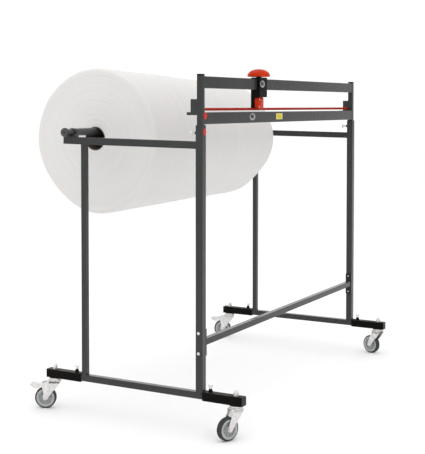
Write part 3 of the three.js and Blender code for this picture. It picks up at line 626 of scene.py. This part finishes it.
def castor_place(corner):
    """The stem's axis on the floor, with local +Y pointing to the wheel as the castor now trails."""
    stem = JOINTS[f"{corner}_castor_swivel"]["pos_m"]
    axle = JOINTS[f"{corner}_wheel_spin"]["axis"]
    turn = Matrix.Rotation(math.atan2(axle[1], axle[0]), 4, "Z")
    return Matrix.Translation((stem[0], stem[1], 0)) @ turn


def wheel_place(corner):
    return castor_place(corner) @ Matrix.Translation((0, TRAIL, WHEEL_R)) @ ALONG_X


def shoulder(rise, start, end):
    """The rounded shoulder of the tyre as [radius, height] pairs, between two angles in degrees."""
    return [(WHEEL_R - TYRE_SHOULDER + TYRE_SHOULDER * math.cos(math.radians(a)),
             rise + TYRE_SHOULDER * math.sin(math.radians(a))) for a in range(start, end, 12)]


def tyre_piece(corner):
    recess = [(TYRE_BORE, TYRE_HALF - TYRE_RECESS), (0.0424, TYRE_HALF - TYRE_RECESS), (0.0425, TYRE_HALF - 0.0003)]
    groove = [(WHEEL_R, 0.0036), (WHEEL_R - 0.0008, 0.0031), (WHEEL_R - 0.0008, 0.0023), (WHEEL_R, 0.0018)]
    bulge = TYRE_HALF - 0.0078
    profile = [(radius, -height) for radius, height in recess]
    profile += shoulder(-bulge, -86, 1)
    profile += [(radius, -height) for radius, height in groove] + groove[::-1]
    profile += shoulder(bulge, 2, 87)
    profile += recess[::-1]
    profile.append(profile[0])
    bm = bmesh.new()
    revolve(bm, profile, 112, wheel_place(corner))
    piece = finish_mesh(bm, f"{corner}_tyre_rubber", RUBBER, 50.0)
    settle(piece, BODY_OF[f"{corner}_castor_tyre"], f"{corner}_castor_tyre")


def rim_piece(corner):
    place = wheel_place(corner)
    one_side = [(0.0053, 0.0178), (0.0115, 0.0178), (0.0128, 0.0170), (0.0140, 0.0120), (0.0150, 0.0048),
                (0.0180, 0.0036), (0.0285, 0.0036), (0.0305, 0.0050), (0.0315, 0.0118), (0.0325, 0.0128),
                (0.0350, 0.0128), (0.0360, 0.0136), (0.0368, 0.0149), (0.0378, 0.0152), (0.0410, 0.0151),
                (0.0420, 0.0146), (0.0422, 0.0128), (0.0422, 0.0122), (0.0369, 0.0119)]
    profile = [(radius, -height) for radius, height in one_side] + one_side[::-1]
    profile.append(profile[0])
    bm = bmesh.new()
    revolve(bm, profile, 80, place)
    spoke = [(0.0125, -0.0011), (0.0325, -0.0008), (0.0325, 0.0008), (0.0125, 0.0011)]
    for side in (-1, 1):
        for i in range(RIM_RIBS):
            spin = Matrix.Rotation(2 * math.pi * (i + 0.5) / RIM_RIBS, 4, "Z")
            prism(bm, spoke, 0.0065, place @ spin @ Matrix.Translation((0, 0, side * 0.0058)), 0.0004)
    piece = finish_mesh(bm, f"{corner}_wheel_rim", RIM_GREY, 36.0)
    settle(piece, BODY_OF[f"{corner}_castor_rim"], f"{corner}_castor_rim")


def curve2(p0, p1, p2, steps=8):
    """Points on a quadratic curve from p0, left out, to p2."""
    return [
        ((1 - t) ** 2 * p0[0] + 2 * t * (1 - t) * p1[0] + t * t * p2[0],
         (1 - t) ** 2 * p0[1] + 2 * t * (1 - t) * p1[1] + t * t * p2[1])
        for t in [k / steps for k in range(1, steps + 1)]
    ]


def cheek_outline(brake):
    """Side view of the fork, in metres from the stem's axis and the floor."""
    line = [(-0.024, CHEEK_TOP), (-0.024, 0.126)]
    line += curve2((-0.024, 0.126), (-0.018, 0.112), (0.0, 0.092))
    line += curve2((0.0, 0.092), (0.022, 0.068), (TRAIL - 0.011, 0.045), 6)
    line += curve2((TRAIL - 0.011, 0.045), (TRAIL, 0.0345), (TRAIL + 0.011, 0.045), 10)
    line += curve2((TRAIL + 0.011, 0.045), (TRAIL + 0.0125, 0.053), (TRAIL + 0.008, 0.066), 5)
    if brake:
        line += curve2((TRAIL + 0.008, 0.066), (TRAIL + 0.009, 0.098), (0.069, 0.109))
        line += curve2((0.069, 0.109), (0.068, 0.123), (0.054, 0.122))
        line += curve2((0.054, 0.122), (0.038, 0.124), (0.030, CHEEK_TOP), 5)
    else:
        line += curve2((TRAIL + 0.008, 0.066), (0.040, 0.100), (0.032, 0.116))
        line += [(0.030, CHEEK_TOP)]
    return line


def hex_outline(radius):
    return [(radius * math.cos(math.radians(60 * i)), radius * math.sin(math.radians(60 * i))) for i in range(6)]


def threaded(bm, radius, high, place):
    """A bolt end from 0 up to high, with its thread as close rings."""
    profile = [(0, 0.0), (radius, 0.0)]
    z = THREAD_PITCH
    while z < high - THREAD_PITCH:
        profile += [(radius, z - THREAD_PITCH * 0.3), (radius - THREAD_PITCH * 0.45, z)]
        z += THREAD_PITCH
    profile += [(radius, high - 0.0012), (radius - 0.0012, high), (0, high)]
    revolve(bm, profile, 32, place)


def wheel_pin(bm, base):
    """The pin through wheel and cheeks, with a washer, a hex head and a pin end on each side."""
    revolve(bm, [(0, -FORK_OUTSIDE), (0.005, -FORK_OUTSIDE), (0.005, FORK_OUTSIDE), (0, FORK_OUTSIDE)], 28,
            base @ Matrix.Translation((0, TRAIL, WHEEL_R)) @ ALONG_X)
    for side in (-1, 1):
        out = ALONG_X if side > 0 else ALONG_X @ Matrix.Rotation(math.pi, 4, "X")
        pin = base @ Matrix.Translation((FORK_OUTSIDE * side, TRAIL, WHEEL_R)) @ out
        revolve(bm, [(0, 0), (0.0092, 0), (0.0092, 0.0010), (0, 0.0010)], 32, pin)
        prism(bm, hex_outline(0.0078), 0.0036, pin @ Matrix.Translation((0, 0, 0.0027)), 0.0005)
        revolve(bm, [(0, 0.0040), (0.0030, 0.0040), (0.0030, 0.0046), (0.0022, 0.0049), (0, 0.0049)], 20, pin)


def stem_and_nut(bm, base, corner):
    """The stem up through the sleeve, with a washer and a domed nut on top of it."""
    sleeve_low, sleeve_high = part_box(f"{corner}_castor_sleeve")
    top = sleeve_low.z + (sleeve_high.x - sleeve_low.x)
    revolve(bm, [(0, 0.143), (0.006, 0.143), (0.006, top + 0.001), (0, top + 0.001)], 28, base)
    seat = base @ Matrix.Translation((0, 0, top))
    revolve(bm, [(0.0065, 0.0003), (0.0118, 0.0003), (0.0121, 0.0008), (0.0121, 0.0016), (0.0118, 0.0021),
                 (0.0065, 0.0021), (0.0065, 0.0003)], 48, seat)
    prism(bm, hex_outline(0.0119), 0.0088, seat @ Matrix.Translation((0, 0, 0.0066)), 0.0011, 3)
    revolve(bm, [(0, 0.0105), (0.0092, 0.0105), (0.0096, 0.0112), (0.0096, 0.0160), (0.0090, 0.0190),
                 (0.0076, 0.0218), (0.0056, 0.0239), (0.0030, 0.0251), (0, 0.0254)], 44, seat)


def crown_outline():
    """Front view of the pressing that joins the cheeks: an upside-down U with round shoulders."""
    bend_out, bend_in = 0.005, 0.003
    line = [(FORK_OUTSIDE, CROWN_SKIRT)]
    line += arc(FORK_OUTSIDE - bend_out, CROWN_TOP - bend_out, bend_out, 0, 90, 5)
    line += arc(-FORK_OUTSIDE + bend_out, CROWN_TOP - bend_out, bend_out, 90, 180, 5)
    line += [(-FORK_OUTSIDE, CROWN_SKIRT), (-FORK_INSIDE, CROWN_SKIRT)]
    line += arc(-FORK_INSIDE + bend_in, CROWN_UNDER - bend_in, bend_in, 180, 90, 4)
    line += arc(FORK_INSIDE - bend_in, CROWN_UNDER - bend_in, bend_in, 90, 0, 4)
    return line + [(FORK_INSIDE, CROWN_SKIRT)]


def fork_piece(corner):
    """Fork, swivel head, stem and nut, with the pedal's pivot on a castor that has a brake."""
    brake = corner.endswith("rear")
    base = castor_place(corner)
    under_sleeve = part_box(f"{corner}_castor_sleeve")[0].z - 0.0003
    outer = FORK_OUTSIDE
    bm = bmesh.new()
    for side in (-1, 1):
        place = base @ Matrix.Translation((side * (FORK_INSIDE + FORK_SHEET / 2), 0, 0)) @ SIDE_ON
        prism(bm, cheek_outline(brake), FORK_SHEET, place, 0.0008)
    wheel_pin(bm, base)
    prism(bm, crown_outline(), CROWN_LENGTH, base @ Matrix.Translation((0, 0.003, 0)) @ FRONT_ON, 0.0008)
    revolve(bm, [
        (0, 0.1325), (0.0245, 0.1325), (0.0262, 0.1330), (0.0270, 0.1345), (0.0262, 0.1360), (0.0240, 0.1366),
        (0.0240, 0.1374), (0.0275, 0.1378), (0.0288, 0.1390), (0.0290, 0.1408), (0.0280, 0.1426),
        (0.0250, under_sleeve), (0, under_sleeve),
    ], 72, base)
    revolve(bm, [
        (0, 0.1255), (0.0060, 0.1255), (0.0078, 0.1268), (0.0082, 0.1300), (0.0082, 0.1316), (0, 0.1316),
    ], 32, base)
    stem_and_nut(bm, base, corner)
    if brake:
        eye = base @ Matrix.Translation((0, PIVOT_OUT, PIVOT_UP)) @ ALONG_X
        revolve(bm, [
            (0, -outer - 0.0018), (0.0044, -outer - 0.0016), (0.0048, -outer), (0.003, -outer), (0.003, outer),
            (0.0048, outer), (0.0044, outer + 0.0016), (0, outer + 0.0018),
        ], 24, eye)
    piece = finish_mesh(bm, f"{corner}_fork_assembly", ZINC, 36.0)
    settle(piece, BODY_OF[f"{corner}_castor_fork"], f"{corner}_castor_fork")


def pedal_piece(side):
    """The brake pedal: a pressed channel with deep sides, ribbed tread and a shoe over the tyre."""
    node = f"{side}_brake_pedal"
    base = castor_place(f"{side}_rear") @ Matrix.Translation((0, PIVOT_OUT, PIVOT_UP))
    half, sheet, edge_r = 0.0174, 0.0024, 0.0006
    flange = [(-0.0078, -0.0030)] + curve2((-0.0078, -0.0030), (-0.007, 0.006), (0.002, 0.0060))
    flange += curve2((0.002, 0.0060), (0.030, 0.0060), (0.0565, 0.0000), 10)
    flange += [(0.0570, -0.0040)]
    flange += curve2((0.0570, -0.0040), (0.046, -0.0150), (0.032, -0.0190))
    flange += curve2((0.032, -0.0190), (0.018, -0.0200), (0.006, -0.0090))
    plate = [(0.001, 0.0036), (0.001, 0.0060)] + curve2((0.001, 0.0060), (0.030, 0.0060), (0.058, 0.0), 10)
    plate += [(0.0580, -0.0028)] + curve2((0.0580, -0.0028), (0.030, 0.0034), (0.001, 0.0036), 10)[:-1]
    shoe = [(0.0072, 0.004), (0.0072, -0.0118), (0.0090, -0.0128), (0.0150, -0.0128), (0.0160, -0.0118),
            (0.0160, 0.004)]
    rib_x, rib_y, rib_z = half - 0.0035, 0.0010, 0.0020
    rib = [(-rib_x, -rib_y), (rib_x, -rib_y), (rib_x, rib_y), (-rib_x, rib_y)]
    bm = bmesh.new()
    for side_sign in (-1, 1):
        out = Matrix.Translation((side_sign * (half - sheet / 2), 0, 0))
        prism(bm, flange, sheet, base @ out @ SIDE_ON, edge_r)
    prism(bm, plate, 2 * half - 0.001, base @ SIDE_ON, edge_r)
    prism(bm, shoe, 2 * half - 0.003, base @ SIDE_ON, edge_r)
    for k in range(5):
        along = 0.0300 + 0.0052 * k
        rise = 0.0052 - 1.05 * (along - 0.0200) ** 2 / 0.38
        tilt = Matrix.Rotation(math.radians(-5 - 2 * k), 4, "X")
        prism(bm, rib, rib_z, base @ Matrix.Translation((0, along, rise)) @ tilt, 0.0007)
    piece = finish_mesh(bm, f"{side}_pedal_pressing", ZINC, 36.0)
    settle(piece, BODY_OF[node], node)


# ---- wing screws ---------------------------------------------------------------------------------
SCREW_R = 0.003
WINGS_HIGH = 0.0182


def wing_screw(node, axis):
    """axis is the way the head points: Z on the sleeves, Y on the posts."""
    low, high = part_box(node)
    mid = centre(node)
    quarter = Matrix.Rotation(math.pi / 2, 4, "Z")
    if axis == "Z":
        place = Matrix.Translation((mid.x, mid.y, low.z)) @ quarter
        head = high.z - low.z - WINGS_HIGH
    else:
        place = Matrix.Translation((mid.x, low.y, mid.z)) @ ALONG_Y @ quarter
        head = high.y - low.y - WINGS_HIGH
    bm = bmesh.new()
    threaded(bm, SCREW_R, head + 0.001, place)
    revolve(bm, [
        (0, head), (0.0056, head), (0.0062, head + 0.0008), (0.0058, head + 0.0050), (0.0046, head + 0.0105),
        (0.0036, head + 0.0125), (0, head + 0.0130),
    ], 40, place)
    for side in (-1, 1):
        lobe = [(0.0030, 0.0006), (0.0048, 0.0014), (0.0068, 0.0042)]
        lobe += arc(0.0075, 0.0125, 0.0042, -60, 150, 14)
        lobe += [(0.0040, 0.0100), (0.0030, 0.0086)]
        outline = [(side * x, y) for x, y in lobe]
        if side < 0:
            outline.reverse()
        stand = place @ Matrix.Translation((0, 0, head)) @ Matrix.Rotation(math.pi / 2, 4, "X")
        prism(bm, outline, 0.0036, stand, 0.0011, 3)
    piece = finish_mesh(bm, node + "_cast", BOLT_STEEL, 42.0)
    settle(piece, BODY_OF[node], node)


# ---- axle ends -----------------------------------------------------------------------------------
AXLE_KNOB_LENGTH = 0.066


def axle_end(side):
    """The knob on the axle's end, and the dark ring that rests in the arm's saddle."""
    node = f"{side}_axle_end"
    low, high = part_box(node)
    out = -1 if side == "left" else 1
    outer_x = low.x if out < 0 else high.x
    at = centre(node)
    place = Matrix.Translation((outer_x - out * AXLE_KNOB_LENGTH, at.y, at.z)) @ ALONG_X
    if out < 0:
        place = place @ Matrix.Rotation(math.pi, 4, "X")
    bm = bmesh.new()
    revolve(bm, [
        (0, -0.034), (0.0125, -0.034), (0.0137, -0.032), (0.0137, -0.010), (0.0150, -0.0100), (0.0150, 0.0105),
        (0.0146, 0.012), (0.0146, 0.0470), (0.0150, 0.0482), (0.0186, 0.0488), (0.0200, 0.0500),
        (0.0205, 0.0520), (0.0205, 0.0622), (0.0198, 0.0645), (0.0182, 0.0656), (0.0160, AXLE_KNOB_LENGTH),
        (0.0105, 0.0658), (0.0095, 0.0648), (0.0085, 0.0648), (0.0055, 0.0652), (0.0042, 0.0646),
        (0.0040, 0.0580), (0, 0.0580),
    ], 72, place)
    piece = finish_mesh(bm, f"{side}_axle_knob", DARK_STEEL, 36.0)
    settle(piece, BODY_OF[node], node)
    ring = bmesh.new()
    revolve(ring, [
        (0.0151, -0.0095), (0.0178, -0.0095), (0.0185, -0.0088), (0.0185, 0.0088), (0.0178, 0.0095),
        (0.0151, 0.0095), (0.0151, -0.0095),
    ], 72, place)
    seat = finish_mesh(ring, f"{side}_axle_seat_ring", RING_STEEL, 36.0)
    settle(seat, BODY_OF[node], slot=SLOT_OF[node])


# ---- cutter carriage -----------------------------------------------------------------------------
KNOB_R = 0.054
KNOB_WIDEST_AT = 0.0085
KNOB_DOME_STEPS = 26


def palm_knob():
    """A mushroom knob: a short neck, a rounded lip and a full dome."""
    node = "carriage_knob"
    low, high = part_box(node)
    at = centre(node)
    height = high.z - low.z
    dome = height - KNOB_WIDEST_AT
    profile = [(0, 0), (0.0118, 0), (0.0120, 0.0028), (0.0200, 0.0030), (0.0440, 0.0032), (KNOB_R - 0.0052, 0.0036)]
    for degrees in range(-80, 1, 16):
        a = math.radians(degrees)
        profile.append((KNOB_R - 0.0045 + 0.0045 * math.cos(a), KNOB_WIDEST_AT + 0.0048 * math.sin(a)))
    for i in range(1, KNOB_DOME_STEPS):
        a = i / KNOB_DOME_STEPS * math.pi / 2
        profile.append((KNOB_R * math.cos(a) ** 0.92, KNOB_WIDEST_AT + dome * math.sin(a) ** 1.04))
    profile.append((0, height))
    bm = bmesh.new()
    revolve(bm, profile, 128, Matrix.Translation((at.x, at.y, low.z)))
    piece = finish_mesh(bm, "palm_knob_moulding", RED_PLASTIC, 60.0)
    settle(piece, BODY_OF[node], node)


def housing_piece():
    """The blade housing with a raised front panel and four screws at its corners."""
    node = "blade_housing"
    low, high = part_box(node)
    at = centre(node)
    size = high - low
    panel_inset, panel_thick = 0.014, 0.0016
    screw_x, screw_z = 0.021, 0.017
    bm = bmesh.new()
    prism(bm, rounded(size.x, size.z, 0.009, 8), size.y, Matrix.Translation(at) @ FRONT_ON, 0.0030, 4)
    panel = rounded(size.x - panel_inset, size.z - panel_inset, 0.006, 6)
    prism(bm, panel, panel_thick, Matrix.Translation((at.x, low.y - 0.0004, at.z)) @ FRONT_ON, 0.0006)
    piece = finish_mesh(bm, "blade_housing_moulding", RED_PLASTIC, 40.0)
    settle(piece, BODY_OF[node], node)
    screws = bmesh.new()
    for dx, dz in ((-1, -1), (1, -1), (-1, 1), (1, 1)):
        spot = Matrix.Translation((at.x + dx * screw_x, low.y - 0.0010, at.z + dz * screw_z)) @ FRONT_ON
        revolve(screws, [
            (0, 0.0016), (0.0016, 0.0016), (0.0020, 0.0008), (0.0034, 0.0012), (0.0036, 0.0004),
            (0.0036, -0.0006), (0, -0.0006),
        ], 24, spot)
    heads = finish_mesh(screws, "housing_screws", BOLT_STEEL, 36.0)
    settle(heads, BODY_OF[node], slot="zinc_steel")


# ---- plates and labels ---------------------------------------------------------------------------
SILVER_FOIL = printed_foil("silver_plate", (0.36, 0.36, 0.355), 0.32, 0.7)
DARK_FOIL = printed_foil("dark_plate_centre", (0.02, 0.02, 0.02), 0.4, 0.2)
YELLOW_FOIL = printed_foil("yellow_label", (0.72, 0.62, 0.16), 0.5, 0.0, coat=0.0)
DEEP_YELLOW = printed_foil("yellow_label_panel", (0.60, 0.46, 0.02), 0.5, 0.0, coat=0.0)
RED_FOIL = printed_foil("red_disc_label", (0.56, 0.012, 0.014), 0.5, 0.0, coat=0.0)
PLATE_THICK = 0.0008
CENTRE_THICK = 0.0005


def oval(width, height, steps=48):
    return [(width / 2 * math.cos(2 * math.pi * i / steps), height / 2 * math.sin(2 * math.pi * i / steps))
            for i in range(steps)]


def plate(name, outline, thickness, on, x, stands_out, z, material, slot):
    """A flat plate on the front of the CAD node named by on, whose middle stands out by so much."""
    bm = bmesh.new()
    at = (x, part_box(on)[0].y - stands_out, z)
    prism(bm, outline, thickness, Matrix.Translation(at) @ FRONT_ON, thickness * 0.3)
    piece = finish_mesh(bm, name, material, 40.0)
    settle(piece, BODY_OF[on], slot=slot)


def oval_plate(name, on, x, z, size, centre_size):
    """A plain silver plate with a dark middle."""
    plate(f"{name}_oval_plate", oval(*size), PLATE_THICK, on, x, 0.0005, z, SILVER_FOIL, "zinc_steel")
    plate(f"{name}_oval_centre", oval(*centre_size), CENTRE_THICK, on, x, 0.0010, z, DARK_FOIL, "zinc_steel")


def plates():
    post_x = centre("left_inner_post").x
    bar_z = centre("lower_crossbar").z
    label_x, label_z = post_x + 0.769, bar_z + 0.002
    oval_plate("crossbar", "lower_crossbar", post_x + 0.472, bar_z + 0.003, (0.058, 0.034), (0.034, 0.019))
    plate("crossbar_label", rounded(0.072, 0.029, 0.002), 0.0004, "lower_crossbar", label_x, 0.0003, label_z,
          YELLOW_FOIL, "red_plastic")
    plate("crossbar_label_panel", rounded(0.050, 0.018, 0.003), 0.0003, "lower_crossbar", label_x, 0.0006, label_z,
          DEEP_YELLOW, "red_plastic")
    oval_plate("carriage", "carriage_body", centre("carriage_body").x - 0.015, 1.518, (0.050, 0.034), (0.030, 0.019))
    plate("inner_post_disc", oval(0.030, 0.030), 0.0012, "left_inner_post", post_x + 0.015, 0.0004, 1.372,
          RED_FOIL, "red_plastic")
    plate("lower_post_disc", oval(0.026, 0.030), 0.0005, "left_front_post", post_x + 0.0035, 0.0004, 1.303,
          RED_FOIL, "red_plastic")


# ---- surroundings --------------------------------------------------------------------------------
WALL_LEVEL = 1.06
SHADED_LEVEL = 0.30
SHADED_WALL = -44.0
# Where the shade ends and where it is full, as the cosine of the angle from its middle.
SHADE_FROM, SHADE_FULL = 0.84, 0.97
FLOOR_HALF = 40.0
LIGHTS_AIM = Vector((0, 0, 0.8))
# name, place, size, watts
SOFTBOXES = (
    ("top_softbox", (-0.5, 0.3, 5.2), (5.0, 4.0), 40.0),
    ("front_softbox", (-3.5, -6.0, 3.2), (3.5, 3.0), 26.0),
    ("back_softbox", (3.5, 5.5, 3.4), (4.0, 3.0), 24.0),
)


def studio_walls(tree):
    """White all round, with one softly shaded stretch of wall. It lights and reflects less, and the camera
    itself sees it as white."""
    coords = tree.nodes.new("ShaderNodeTexCoord")
    toward = tree.nodes.new("ShaderNodeVectorMath")
    toward.operation = "DOT_PRODUCT"
    a = math.radians(SHADED_WALL)
    toward.inputs[1].default_value = (math.cos(a), math.sin(a), 0.0)
    level = tree.nodes.new("ShaderNodeMapRange")
    level.interpolation_type = "SMOOTHSTEP"
    for key, number in (("From Min", SHADE_FROM), ("From Max", SHADE_FULL), ("To Min", WALL_LEVEL),
                        ("To Max", SHADED_LEVEL)):
        level.inputs[key].default_value = number
    path = tree.nodes.new("ShaderNodeLightPath")
    seen = tree.nodes.new("ShaderNodeMath")
    seen.operation = "MAXIMUM"
    background = tree.nodes["Background"]
    background.inputs["Color"].default_value = (1.0, 1.0, 1.0, 1.0)
    tree.links.new(coords.outputs["Generated"], toward.inputs[0])
    tree.links.new(toward.outputs["Value"], level.inputs["Value"])
    tree.links.new(level.outputs["Result"], seen.inputs[0])
    tree.links.new(path.outputs["Is Camera Ray"], seen.inputs[1])
    tree.links.new(seen.outputs["Value"], background.inputs["Strength"])


def studio():
    mesh = bpy.data.meshes.new("floor")
    far = FLOOR_HALF
    mesh.from_pydata([(-far, -far, 0), (far, -far, 0), (far, far, 0), (-far, far, 0)], [], [(0, 1, 2, 3)])
    floor = bpy.data.objects.new("floor", mesh)
    mesh.materials.append(plain_floor("floor"))
    bpy.context.scene.collection.objects.link(floor)
    world = bpy.data.worlds.new("studio")
    bpy.context.scene.world = world
    world.use_nodes = True
    studio_walls(world.node_tree)
    for name, at, size, watts in SOFTBOXES:
        data = bpy.data.lights.new(name, "AREA")
        data.shape = "RECTANGLE"
        data.size, data.size_y = size
        data.energy = watts
        light = bpy.data.objects.new(name, data)
        light.location = at
        light.rotation_mode = "QUATERNION"
        light.rotation_quaternion = (LIGHTS_AIM - light.location).to_track_quat("-Z", "Y")
        bpy.context.scene.collection.objects.link(light)
    bpy.context.scene.view_settings.view_transform = "Standard"


# ---- build ---------------------------------------------------------------------------------------
make_camera()
frame_parts()
film_roll()
for corner in CORNERS:
    tyre_piece(corner)
    rim_piece(corner)
    fork_piece(corner)
    wing_screw(f"{corner}_sleeve_wing_screw", "Z")
for side in SIDES:
    pedal_piece(side)
    wing_screw(f"{side}_height_wing_screw", "Y")
    axle_end(side)
palm_knob()
housing_piece()
plates()
studio()
